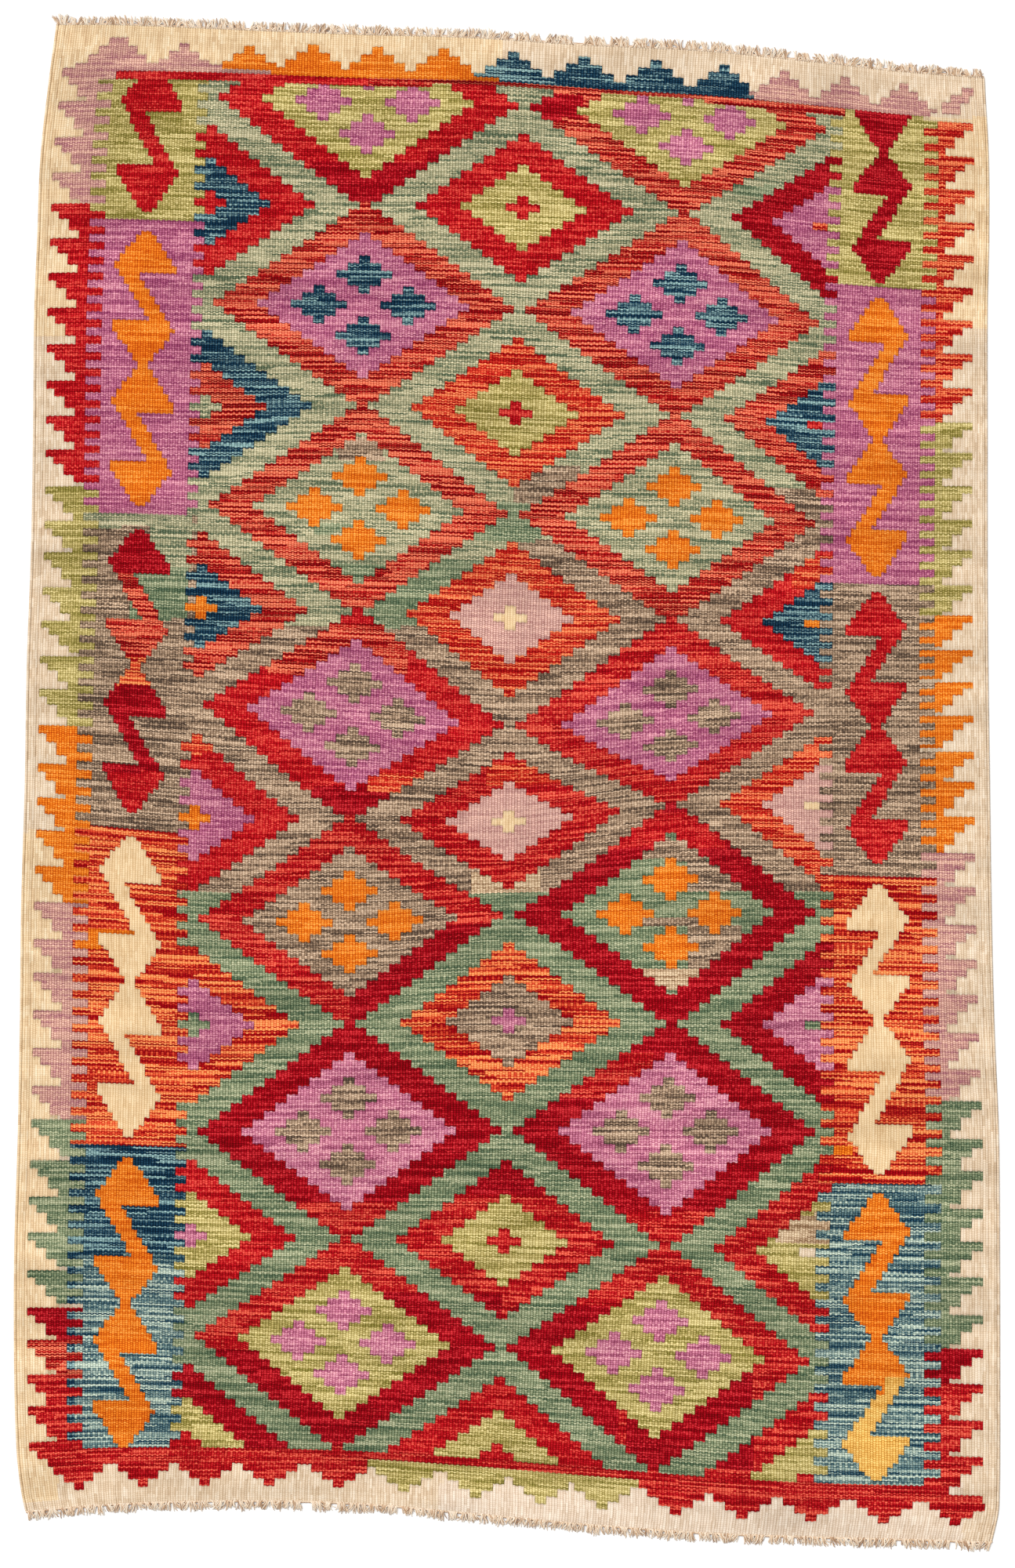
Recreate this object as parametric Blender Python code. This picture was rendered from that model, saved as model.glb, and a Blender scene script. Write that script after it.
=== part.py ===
"""Kilim rug: one flat woven cloth, with a short knotted fringe along each end.

Metres, +Z up. The rug lies face up with its underside on Z = 0, and its origin is under the
middle of its outline, fringes included. +Y points to the upper end, +X to the right edge.
"""

import math
import random

import bpy
import bmesh
from mathutils import Matrix, Vector

MM = 0.001

# Driving dimensions, in metres.
CLOTH_THICKNESS = 3.0 * MM
PIECE_GAP = 0.3 * MM  # between the cloth and each fringe's strip
STRIP_WIDTH = 1.5 * MM
STRIP_THICKNESS = 2.6 * MM
TUFT_LENGTH = 9.0 * MM  # from the strip to the cut warp ends
TUFT_ROOT_SHARE = 0.42  # of the pitch, the rest is the gap to the next tuft
SIDE_STEP = 45.0 * MM  # between the outline's points down the sides
TOP_TUFTS = 92
BOTTOM_TUFTS = 98

# The laid outline in millimetres, measured across from the left and down from the top of a
# flat sheet that the rug lies on. The sides lean and bow, and both ends fall to the right.
SIDE_EDGES = [
    # down, left, right
    (30, 72.0, 1256.0),
    (100, 62.5, 1256.5),
    (200, 51.5, 1261.5),
    (300, 47.5, 1262.0),
    (400, 43.5, 1260.0),
    (550, 42.0, 1260.0),
    (700, 39.5, 1260.0),
    (850, 34.0, 1261.0),
    (1000, 31.5, 1263.0),
    (1150, 27.0, 1265.0),
    (1300, 25.3, 1268.5),
    (1450, 22.5, 1274.5),
    (1600, 18.0, 1275.7),
    (1750, 18.0, 1276.0),
    (1850, 21.0, 1276.0),
    (1900, 26.5, 1275.5),
    (1930, 32.5, 1274.0),
    (1966, 40.0, 1266.0),
]
END_EDGES = [
    # across, top, bottom
    (30, 31.5, 1928.0),
    (150, 31.5, 1918.0),
    (300, 37.5, 1914.0),
    (450, 43.5, 1917.0),
    (600, 48.0, 1930.0),
    (750, 57.5, 1944.0),
    (900, 65.0, 1955.0),
    (1050, 80.0, 1960.5),
    (1150, 91.0, 1963.0),
    (1270, 100.0, 1967.0),
]

# A tuft along its length: share of TUFT_LENGTH, width as a share of the root's, height.
TUFT_PROFILE = [
    # share, width, height
    (0.26, 1.10, 3.8 * MM),  # the knot
    (0.46, 0.75, 2.6 * MM),  # its waist
    (1.00, 1.45, 1.6 * MM),  # the spread, cut ends
]

# Colour, roughness and metallic value of each finish.
FINISHES = {
    "woven_wool": ((0.42, 0.13, 0.09, 1.0), 0.92, 0.0),
    "undyed_warp": ((0.78, 0.66, 0.50, 1.0), 0.95, 0.0),
}


def smooth(table, column, at):
    """The value of one column of a table, on a smooth curve through its rows."""
    last = len(table) - 1
    row = max(1, min(last, sum(1 for entry in table if entry[0] <= at)))

    def slope(i):
        low, high = max(0, i - 1), min(last, i + 1)
        return (table[high][column] - table[low][column]) / (table[high][0] - table[low][0])

    start, end = table[row - 1], table[row]
    span = end[0] - start[0]
    t = (at - start[0]) / span
    rise = end[column] - start[column]
    bend_in = slope(row - 1) * span - rise
    bend_out = rise - slope(row) * span
    return start[column] + t * rise + t * (1 - t) * ((1 - t) * bend_in + t * bend_out)


def left_edge(down):
    return smooth(SIDE_EDGES, 1, down)


def right_edge(down):
    return smooth(SIDE_EDGES, 2, down)


def top_edge(across):
    return smooth(END_EDGES, 1, across)


def bottom_edge(across):
    return smooth(END_EDGES, 2, across)


def corner(side, end):
    """Where a side edge meets an end edge, as across and down."""
    down = end(650)
    for _ in range(8):
        across = side(down)
        down = end(across)
    return across, down


def laid(across, down, up=0.0):
    """A point of the laid sheet in metres, with +Y towards the upper end."""
    return Vector((across * MM, -down * MM, up))


def spread(start, end, count):
    return [start + (end - start) * i / count for i in range(count + 1)]


def finish(name):
    colour, roughness, metallic = FINISHES[name]
    material = bpy.data.materials.new(name)
    material.use_nodes = True
    shader = material.node_tree.nodes["Principled BSDF"]
    shader.inputs["Base Color"].default_value = colour
    shader.inputs["Roughness"].default_value = roughness
    shader.inputs["Metallic"].default_value = metallic
    return material


def outline():
    """The cloth's edge, once round, with a point for each tuft along the ends."""
    top_left, top_right = corner(left_edge, top_edge), corner(right_edge, top_edge)
    bottom_left, bottom_right = corner(left_edge, bottom_edge), corner(right_edge, bottom_edge)
    side_points = math.ceil((bottom_right[1] - top_right[1]) * MM / SIDE_STEP)
    points = [(a, top_edge(a)) for a in spread(top_left[0], top_right[0], TOP_TUFTS)]
    points += [(right_edge(d), d) for d in spread(top_right[1], bottom_right[1], side_points)[1:]]
    points += [(a, bottom_edge(a)) for a in spread(bottom_right[0], bottom_left[0], BOTTOM_TUFTS)[1:]]
    points += [(left_edge(d), d) for d in spread(bottom_left[1], top_left[1], side_points)[1:-1]]
    return [laid(*point) for point in points]


def woven_cloth(collection):
    """The cloth, cut out flat by its outline."""
    curve = bpy.data.curves.new("woven_cloth", "CURVE")
    curve.dimensions = "2D"
    curve.fill_mode = "BOTH"
    curve.extrude = CLOTH_THICKNESS / 2
    points = outline()
    spline = curve.splines.new("POLY")
    spline.points.add(len(points) - 1)
    for point, place in zip(spline.points, points):
        point.co = (place.x, place.y, 0.0, 1.0)
    spline.use_cyclic_u = True
    cloth = bpy.data.objects.new("woven_cloth", curve)
    cloth.location.z = CLOTH_THICKNESS / 2
    curve.materials.append(finish("woven_wool"))
    collection.objects.link(cloth)
    return cloth


def tuft_stations(start, end, tufts, draw):
    """Places across the end: gap, tuft, gap, tuft ... gap, with uneven gaps and widths."""
    pitch = (end - start) / tufts
    root = pitch * TUFT_ROOT_SHARE
    stations = [start]
    for i in range(tufts):
        middle = start + pitch * (i + 0.5 + draw.uniform(-0.14, 0.14))
        half = root * draw.uniform(0.42, 0.58)
        stations += [middle - half, middle + half]
    return stations + [end]


def grow_tuft(strip, face, outward, draw):
    """Extrudes one face of the strip's outer side into a knotted tuft that lies on the ground."""
    root = face.calc_center_median()
    width = max(v.co.x for v in face.verts) - min(v.co.x for v in face.verts)
    length = TUFT_LENGTH * draw.uniform(0.85, 1.0)
    lean = draw.uniform(-0.16, 0.16)
    for share, spread_by, height in TUFT_PROFILE:
        face = bmesh.ops.extrude_discrete_faces(strip, faces=[face])["faces"][0]
        middle = root.x + lean * length * share
        centre_x, centre_z = face.calc_center_median().x, face.calc_center_median().z
        for vertex in face.verts:
            side = 1 if vertex.co.x > centre_x else -1
            vertex.co = (
                middle + side * width * spread_by / 2,
                root.y + outward * length * share,
                height if vertex.co.z > centre_z else 0.0,
            )


def fringe(collection, name, end, start_across, end_across, tufts, outward, seed):
    """A narrow strip beside one end of the cloth, and the knotted tufts that stand out of it."""
    draw = random.Random(seed)
    stations = tuft_stations(start_across, end_across, tufts, draw)
    columns = len(stations) - 1
    strip = bmesh.new()
    bmesh.ops.create_grid(strip, x_segments=columns, y_segments=1, size=0.5)
    for vertex in strip.verts:
        across = stations[round((vertex.co.x + 0.5) * columns)]
        away = PIECE_GAP + (STRIP_WIDTH if vertex.co.y * outward > 0 else 0.0)
        vertex.co = laid(across, end(across) - outward * away / MM)
    lifted = bmesh.ops.extrude_face_region(strip, geom=strip.faces[:])["geom"]
    top = [part for part in lifted if isinstance(part, bmesh.types.BMVert)]
    bmesh.ops.translate(strip, verts=top, vec=(0, 0, STRIP_THICKNESS))
    bmesh.ops.recalc_face_normals(strip, faces=strip.faces[:])
    outer = [face for face in strip.faces if face.normal.y * outward > 0.9]
    outer.sort(key=lambda face: face.calc_center_median().x)
    for face in outer[1::2]:
        grow_tuft(strip, face, outward, draw)
    mesh = bpy.data.meshes.new(name)
    strip.to_mesh(mesh)
    strip.free()
    mesh.materials.append(finish("undyed_warp"))
    piece = bpy.data.objects.new(name, mesh)
    collection.objects.link(piece)
    return piece


def centre_on_origin(pieces):
    """Moves the pieces together, so that the middle of their common outline is at X = Y = 0."""
    bpy.context.view_layer.update()
    corners = [piece.matrix_world @ Vector(c) for piece in pieces for c in piece.bound_box]
    xs, ys = [c.x for c in corners], [c.y for c in corners]
    shift = Vector(((min(xs) + max(xs)) / 2, (min(ys) + max(ys)) / 2, 0.0))
    for piece in pieces:
        piece.matrix_world = Matrix.Translation(-shift) @ piece.matrix_world


def main():
    for thing in list(bpy.data.objects):
        bpy.data.objects.remove(thing, do_unlink=True)
    collection = bpy.data.collections.new("kilim_rug")
    bpy.context.scene.collection.children.link(collection)
    top = corner(left_edge, top_edge)[0], corner(right_edge, top_edge)[0]
    bottom = corner(left_edge, bottom_edge)[0], corner(right_edge, bottom_edge)[0]
    cloth = woven_cloth(collection)
    upper = fringe(collection, "top_fringe", top_edge, *top, TOP_TUFTS, 1, seed=11)
    lower = fringe(collection, "bottom_fringe", bottom_edge, *bottom, BOTTOM_TUFTS, -1, seed=12)
    centre_on_origin([cloth, upper, lower])


main()
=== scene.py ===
"""Kilim rug: its looks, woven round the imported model.

The rug is charted the way it is woven. Warp ribs run down it, weft lines run across it, and both
bend as they do on the real cloth. A chart gives each rib its yarn at each half step of the
pattern, and the stepped diamonds, hooks, teeth and triangles are counted out on it in ribs and
steps. The chart is then woven into a ribbed mesh. Laid places are in millimetres, across from the
left and down from the top of the sheet that the rug lies on.
"""

import math
import random

import bmesh
import bpy
import numpy as np
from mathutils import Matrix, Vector


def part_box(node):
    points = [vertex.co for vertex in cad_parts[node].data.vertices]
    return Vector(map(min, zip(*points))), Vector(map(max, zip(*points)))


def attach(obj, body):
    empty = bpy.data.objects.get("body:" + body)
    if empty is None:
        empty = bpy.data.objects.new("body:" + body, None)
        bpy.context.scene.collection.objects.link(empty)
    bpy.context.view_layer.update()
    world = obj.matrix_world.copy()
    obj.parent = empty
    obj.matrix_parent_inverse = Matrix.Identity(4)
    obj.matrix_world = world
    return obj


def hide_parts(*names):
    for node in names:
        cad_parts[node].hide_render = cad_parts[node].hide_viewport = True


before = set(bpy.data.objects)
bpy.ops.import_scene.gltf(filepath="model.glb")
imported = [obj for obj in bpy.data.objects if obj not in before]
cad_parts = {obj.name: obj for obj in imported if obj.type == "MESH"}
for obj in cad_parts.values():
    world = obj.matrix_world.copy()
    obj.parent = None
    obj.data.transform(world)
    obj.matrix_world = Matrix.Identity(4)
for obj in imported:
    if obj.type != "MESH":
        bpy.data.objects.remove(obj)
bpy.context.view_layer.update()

MM = 0.001

# ---------------------------------------------------------------------------------------------
# The loom: the outline, and how ribs and weft lines run inside it
# ---------------------------------------------------------------------------------------------

SIDE_EDGES = np.array([
    # down, left, right
    (30, 72.0, 1256.0),
    (100, 62.5, 1256.5),
    (200, 51.5, 1261.5),
    (300, 47.5, 1262.0),
    (400, 43.5, 1260.0),
    (550, 42.0, 1260.0),
    (700, 39.5, 1260.0),
    (850, 34.0, 1261.0),
    (1000, 31.5, 1263.0),
    (1150, 27.0, 1265.0),
    (1300, 25.3, 1268.5),
    (1450, 22.5, 1274.5),
    (1600, 18.0, 1275.7),
    (1750, 18.0, 1276.0),
    (1850, 21.0, 1276.0),
    (1900, 26.5, 1275.5),
    (1930, 32.5, 1274.0),
    (1966, 40.0, 1266.0),
])
END_EDGES = np.array([
    # across, top, bottom
    (30, 31.5, 1928.0),
    (150, 31.5, 1918.0),
    (300, 37.5, 1914.0),
    (450, 43.5, 1917.0),
    (600, 48.0, 1930.0),
    (750, 57.5, 1944.0),
    (900, 65.0, 1955.0),
    (1050, 80.0, 1960.5),
    (1150, 91.0, 1963.0),
    (1270, 100.0, 1967.0),
])

# The pattern is counted in steps of height and in ribs of width. One step of a diamond's edge is
# one step high and STEP_RIBS wide, and the diamonds of a row are DIAMOND_ROW steps below the last.
STEP_RIBS = 4
ROWS_PER_STEP = 2
PICKS_PER_ROW = 2
DIAMOND_ROW = 26
FIRST_STEP, LAST_STEP = 4.5, 189.5

# The ribs that the columns of motifs stand on, from the left edge to the right one.
LEFT_HALVES, LEFT_WHOLE, MIDDLE, RIGHT_WHOLE, RIGHT_HALVES = 66, 122, 178, 234, 290
RIBS = 356
COLUMNS = [0, LEFT_HALVES, LEFT_WHOLE, MIDDLE, RIGHT_WHOLE, RIGHT_HALVES, RIBS]

# How far down each weft line runs at those ribs: the beater packed some rows tighter than others.
WEFT_LINES = np.array([
    # step, left edge, left halves, left whole, middle, right whole, right halves, right edge
    (13, 125, 123, 130, 136, 150, 166, 183),
    (26, 255, 258, 262, 265, 272, 290, 304),
    (39, 383, 385, 389, 395, 402, 413, 424),
    (52, 516, 519, 517, 527, 530, 543, 549),
    (65, 640, 643, 648, 656, 661, 668, 673),
    (78, 768, 775, 780, 788, 790, 796, 799),
    (91, 888, 898, 912, 925, 917, 909, 908),
    (104, 1026, 1043, 1044, 1048, 1027, 1028, 1032),
    (117, 1160, 1171, 1177, 1167, 1165, 1164, 1170),
    (130, 1299, 1307, 1306, 1302, 1306, 1308, 1313),
    (143, 1438, 1443, 1443, 1442, 1443, 1444, 1448),
    (156, 1572, 1576, 1580, 1583, 1589, 1598, 1602),
    (169, 1698, 1703, 1712, 1719, 1728, 1737, 1744),
    (182, 1846, 1841, 1845, 1857, 1873, 1886, 1893),
], float)

# How far across the columns' ribs lie, on their way down: they lean to the left.
WARP_RIBS = np.array([
    # down, left halves, left whole, middle, right whole, right halves
    (40, 275, 472, 671, 884, 1062),
    (130, 272, 470, 669, 878, 1060),
    (262, 268, 466, 667, 873, 1057),
    (390, 265, 464, 663, 867, 1052),
    (520, 262, 462, 658, 862, 1050),
    (650, 259, 458, 655, 860, 1047),
    (785, 256, 456, 651, 857, 1046),
    (912, 252, 451, 650, 856, 1045),
    (1043, 248, 446, 649, 856, 1046),
    (1170, 246, 446, 649, 856, 1047),
    (1306, 247, 446, 649, 857, 1047),
    (1443, 245, 444, 647, 850, 1047),
    (1580, 243, 441, 643, 849, 1041),
    (1715, 241, 437, 639, 841, 1040),
    (1850, 236, 430, 634, 834, 1038),
    (1960, 233, 426, 629, 829, 1035),
], float)


def smooth(knots, values, at):
    """Values on a smooth curve through the knots. Where values has columns, so has at."""
    knots, values, at = np.asarray(knots, float), np.asarray(values, float), np.asarray(at, float)
    low = np.maximum(np.arange(len(knots)) - 1, 0)
    high = np.minimum(np.arange(len(knots)) + 1, len(knots) - 1)
    gaps = (knots[high] - knots[low]).reshape(-1, *[1] * (values.ndim - 1))
    slopes = (values[high] - values[low]) / gaps
    start = np.clip(np.searchsorted(knots, at, side="right") - 1, 0, len(knots) - 2)
    span = knots[start + 1] - knots[start]
    t = (at - knots[start]) / span

    def pick(table, index):
        return table[index] if values.ndim == 1 else np.take_along_axis(table, index, axis=0)

    first, rise = pick(values, start), pick(values, start + 1) - pick(values, start)
    bend_in = pick(slopes, start) * span - rise
    bend_out = rise - pick(slopes, start + 1) * span
    return first + t * rise + t * (1 - t) * ((1 - t) * bend_in + t * bend_out)


def left_edge(down):
    return smooth(SIDE_EDGES[:, 0], SIDE_EDGES[:, 1], down)


def right_edge(down):
    return smooth(SIDE_EDGES[:, 0], SIDE_EDGES[:, 2], down)


def top_edge(across):
    return smooth(END_EDGES[:, 0], END_EDGES[:, 1], across)


def bottom_edge(across):
    return smooth(END_EDGES[:, 0], END_EDGES[:, 2], across)


def columns_across(down):
    """Where the seven columns are at that height, or each at its own height."""
    inner = smooth(WARP_RIBS[:, 0], WARP_RIBS[:, 1:], down[..., 1:-1])
    return np.concatenate([left_edge(down[..., :1]), inner, right_edge(down[..., -1:])], axis=-1)


def spread_over_ribs(values, ribs):
    """Values given at the columns, worked out for every rib."""
    at = np.broadcast_to(ribs[:, None], (len(ribs), len(values)))
    return smooth(COLUMNS, values.T, at).T


def laid_grid(ribs, steps):
    """How far across and down each rib crosses each weft line."""
    drops = WEFT_LINES[:, 1:]
    stations = columns_across(drops)
    shares = (drops - top_edge(stations)) / (bottom_edge(stations) - top_edge(stations))
    knots = np.concatenate([[FIRST_STEP], WEFT_LINES[:, 0], [LAST_STEP]])
    shares = np.vstack([np.zeros(len(COLUMNS)), shares, np.ones(len(COLUMNS))])
    at = np.broadcast_to(steps[:, None], (len(steps), len(COLUMNS)))
    share_down = spread_over_ribs(smooth(knots, shares, at), ribs)

    heights = np.repeat(WARP_RIBS[:, :1], len(COLUMNS), axis=1)
    places = columns_across(heights)
    places = (places - places[:, :1]) / (places[:, -1:] - places[:, :1])
    shares_across = spread_over_ribs(places, ribs)

    # A first guess, which each round of the loop brings nearer.
    across = 40 + 1220 * np.broadcast_to(ribs / RIBS, share_down.shape)
    for _ in range(6):
        down = top_edge(across) + share_down * (bottom_edge(across) - top_edge(across))
        share = smooth(WARP_RIBS[:, 0], shares_across, down)
        across = left_edge(down) + share * (right_edge(down) - left_edge(down))
    return across, down


ROWS = int((LAST_STEP - FIRST_STEP) * ROWS_PER_STEP)
HALF_RIBS = np.arange(2 * RIBS + 1) / 2
WEFT_STEPS = FIRST_STEP + np.arange(ROWS + 1) / ROWS_PER_STEP
LINE_ACROSS, LINE_DOWN = laid_grid(HALF_RIBS, WEFT_STEPS)

# The middle of each cell of the chart.
RIB = np.arange(RIBS)[None, :] + 0.5
STEP = (WEFT_STEPS[:-1] + 0.5 / ROWS_PER_STEP)[:, None]
ACROSS = (LINE_ACROSS[:-1, 1::2] + LINE_ACROSS[1:, 1::2]) / 2
DOWN = (LINE_DOWN[:-1, 1::2] + LINE_DOWN[1:, 1::2]) / 2


def chart_place(across, down):
    """The rib and step at a laid point, to the nearest rib and half step."""
    distance = np.hypot(ACROSS - across, DOWN - down)
    row, rib = np.unravel_index(np.argmin(distance), distance.shape)
    half_row = 0.25 if down > DOWN[row, rib] else -0.25
    return rib + (across > ACROSS[row, rib]), STEP[row, 0] + half_row


def step_on(rib, down):
    """The half step that a rib reaches at that height."""
    nearest = np.argmin(np.abs(DOWN[:, min(rib, RIBS - 1)] - down))
    return STEP[nearest, 0] - 0.25 + (down > DOWN[nearest, min(rib, RIBS - 1)]) * 0.5


# ---------------------------------------------------------------------------------------------
# Yarns
# ---------------------------------------------------------------------------------------------

YARNS = {
    # name: main, light and dark tone, how much its picks differ, how much its beads differ, how
    # much two turns of it alternate, run in ribs, picks to a bead
    "cream": ((222, 200, 173), (238, 222, 201), (198, 171, 140), 0.20, 0.6, 0.0, 40, 5),
    "bone": ((224, 204, 183), (240, 226, 208), (202, 178, 152), 0.20, 0.6, 0.0, 40, 5),
    "straw": ((228, 201, 163), (240, 222, 192), (204, 172, 134), 0.20, 0.6, 0.0, 40, 5),
    "ivory": ((227, 198, 157), (239, 215, 178), (208, 174, 130), 0.20, 0.5, 0.0, 16, 5),
    "sand": ((198, 170, 139), (232, 208, 176), (160, 128, 98), 1.00, 0.4, 0.0, 16, 1),
    "madder": ((193, 26, 38), (230, 90, 78), (154, 6, 20), 0.90, 0.6, 0.0, 16, 1),
    "russet": ((190, 25, 37), (238, 110, 88), (150, 6, 20), 1.15, 0.5, 0.2, 18, 1),
    "crimson": ((164, 8, 29), (210, 56, 64), (134, 2, 18), 0.95, 0.6, 0.0, 16, 1),
    "ember": ((194, 33, 36), (242, 138, 106), (136, 3, 16), 1.05, 0.5, 0.80, 24, 1),
    "coral": ((210, 51, 41), (250, 150, 102), (164, 14, 20), 1.00, 0.5, 0.60, 20, 1),
    "flame": ((222, 82, 54), (250, 162, 102), (160, 4, 22), 1.80, 0.3, 0.0, 32, 1),
    "orange": ((232, 133, 39), (250, 168, 80), (208, 100, 22), 0.80, 0.4, 0.0, 18, 1),
    "amber": ((232, 184, 104), (246, 208, 130), (210, 158, 76), 0.60, 0.4, 0.0, 16, 1),
    "olive": ((190, 174, 113), (228, 212, 154), (142, 132, 66), 1.00, 0.4, 0.1, 18, 1),
    "sage": ((174, 170, 138), (214, 205, 172), (102, 116, 92), 1.05, 0.4, 0.2, 18, 1),
    "celadon": ((140, 150, 119), (188, 190, 158), (88, 108, 84), 0.95, 0.4, 0.1, 18, 1),
    "taupe": ((165, 140, 117), (214, 188, 162), (98, 82, 70), 1.10, 0.5, 0.2, 18, 1),
    "blue": ((38, 74, 95), (156, 186, 184), (16, 50, 72), 1.05, 0.3, 0.3, 22, 1),
    "heather": ((112, 138, 138), (200, 212, 196), (36, 72, 90), 1.20, 0.4, 0.4, 26, 1),
    "purple": ((193, 118, 145), (230, 166, 180), (154, 74, 112), 0.80, 0.5, 0.1, 18, 1),
    "orchid": ((204, 130, 154), (236, 176, 186), (162, 88, 116), 0.85, 0.5, 0.1, 18, 1),
    "mauve": ((205, 160, 148), (232, 190, 172), (176, 120, 128), 0.80, 0.4, 0.1, 18, 1),
    "blush": ((212, 171, 160), (238, 196, 180), (184, 136, 130), 0.60, 0.4, 0.0, 18, 1),
}
YARN_ORDER = list(YARNS)

# ---------------------------------------------------------------------------------------------
# The chart
# ---------------------------------------------------------------------------------------------

WHOLE_REACH, WHOLE_FILLING, SMALL_REACH, SMALL_FILLING = 13.5, 9.5, 9.5, 5.5
CROSS_REACH, MOTIF_REACH, MOTIF_OFFSET = 1.5, 2.5, 4

# The steps that the field, the line below it and the triangles of the lower end band reach.
FIELD_END, LOWER_LINE_END, TRIANGLE_END = 182.5, 184.5, 187.5

WHOLE_DIAMONDS = [
    # row, left: ring, filling, motifs; right: ring, filling, motifs
    (0, "madder", "olive", "purple", "ember", "olive", "purple"),
    (1, "ember", "purple", "blue", "ember", "purple", "blue"),
    (2, "ember", "sage", "orange", "ember", "sage", "orange"),
    (3, "madder", "purple", "taupe", "russet", "purple", "taupe"),
    (4, "russet", "taupe", "orange", "crimson", "celadon", "orange"),
    (5, "crimson", "orchid", "taupe", "crimson", "orchid", "taupe"),
    (6, "russet", "olive", "orchid", "russet", "olive", "orchid"),
]
SMALL_DIAMONDS = [
    # row, left: ring, filling, cross; middle: ring, filling, cross; right: ring, filling, mark
    (1, "madder", "blue", "madder", "madder", "olive", "madder", "crimson", "purple", "coral"),
    (2, "blue", "ember", "sage", "coral", "olive", "madder", "ember", "blue", "madder"),
    (3, "ember", "blue", "orange", "coral", "blush", "ivory", "madder", "blue", "orange"),
    (4, "madder", "purple", "orange", "russet", "blush", "ivory", "coral", "blush", "ivory"),
    (5, "flame", "purple", "celadon", "flame", "taupe", "purple", "crimson", "orchid", "celadon"),
    (6, "madder", "olive", "orchid", "russet", "olive", "madder", "russet", "olive", "cream"),
    (7, "crimson", "olive", "madder", "madder", "olive", "madder", "russet", "olive", "madder"),
]

# The borders, in ribs. Two colours meet there in a comb of short fingers: the comb runs down one
# rib on even steps and down another on odd ones.
FIELD_COMBS = (60, 64), (290, 295)
BORDER_COMBS = (26, 20), (329, 335)
TEETH_REACH = 27  # ribs from the side edge to the innermost cells of a tooth

# A side tooth steps inward in TOOTH_STEPS, each of them so many steps below the tooth's top.
TOOTH_STEPS = [
    # steps down, ribs in from the left edge, ribs in from the right edge
    (1.0, 5, 6),
    (2.0, 8, 10),
    (3.5, 12, 14),
    (4.5, 16, 18),
]
LEFT_TEETH = [
    # yarn, down of the first tooth, down of the last, teeth
    ("mauve", 84, 218, 4),
    ("madder", 260, 574, 8),
    ("olive", 620, 880, 7),
    ("orange", 927, 1105, 5),
    ("mauve", 1149, 1384, 6),
    ("celadon", 1430, 1622, 5),
    ("crimson", 1667, 1667, 1),
    ("ember", 1710, 1710, 1),
    ("russet", 1753, 1840, 3),
]
RIGHT_TEETH = [
    ("coral", 157, 496, 9),
    ("olive", 538, 746, 6),
    ("orange", 786, 1042, 7),
    ("mauve", 1088, 1362, 7),
    ("celadon", 1406, 1676, 7),
    ("crimson", 1724, 1724, 1),
    ("russet", 1768, 1908, 4),
]
LEFT_BLOCKS = [
    # ground, hooks, down to
    ("olive", "madder", 281),
    ("purple", "orange", 657),
    ("taupe", "madder", 1057),
    ("flame", "ivory", 1460),
    ("blue", "orange", 1849),
]
RIGHT_BLOCKS = [
    ("olive", "crimson", 365),
    ("purple", "orange", 745),
    ("taupe", "madder", 1116),
    ("flame", "ivory", 1510),
    ("heather", "orange", 1896),
]
LEFT_HOOKS = [
    # down at the top, down at the bottom
    (80, 270), (294, 465), (465, 646), (674, 848), (850, 1036), (1065, 1252), (1252, 1449),
    (1478, 1663), (1663, 1846),
]
RIGHT_HOOKS = [
    (19, 195), (195, 360), (380, 561), (561, 735), (757, 926), (926, 1102), (1128, 1301),
    (1301, 1499), (1525, 1707), (1707, 1890),
]
LEFT_HOOK_RIB, RIGHT_HOOK_RIB = 42, 312

# The left edge of a hook in the left border. Its right edge is the same turned round, and the
# right border has the mirror image.
HOOK_EDGE = [
    # share of half height, ribs
    (-1.0, -1.7),
    (-0.5, -12.0),
    (0.34, 2.0),
    (0.341, -12.0),
    (0.45, -12.0),
    (1.0, -1.7),
]

# Stepped triangles that stand on the end bands.
TOP_TRIANGLES = [
    # yarn, across, step of the tip
    ("mauve", 144, 6.0), ("mauve", 157, 6.0), ("mauve", 234, 6.5), ("orange", 318, 6.5),
    ("orange", 400, 6.0), ("orange", 483, 6.0), ("orange", 567, 6.0), ("blue", 656, 6.0),
    ("blue", 743, 6.0), ("blue", 837, 6.0), ("blue", 925, 6.0), ("mauve", 1000, 6.0),
    ("mauve", 1080, 6.0), ("mauve", 1155, 6.0),
]
TOP_BAND = [
    # yarn, from across, to across
    ("mauve", 95, 345), ("orange", 345, 636), ("blue", 636, 962), ("mauve", 962, 1186),
]
TOP_LINE = [
    # yarn, from across, to across, step that it reaches
    ("madder", 147, 470, 11.0), ("ember", 470, 550, 11.0), ("ember", 550, 900, 10.5),
    ("ember", 900, 1078, 11.0),
]
CORNER_HOOK = [
    # top step, bottom step, from rib, to rib
    (6.0, 7.0, 346, 351), (7.0, 8.0, 341, 349), (8.0, 9.5, 337, 345),
]
BOTTOM_TRIANGLES = [
    # yarn, across
    ("russet", 100), ("russet", 181), ("russet", 262), ("russet", 343), ("russet", 431),
    ("olive", 516), ("olive", 606), ("olive", 690), ("olive", 769), ("russet", 861),
    ("russet", 946), ("russet", 1035), ("russet", 1128), ("russet", 1222),
]

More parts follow.
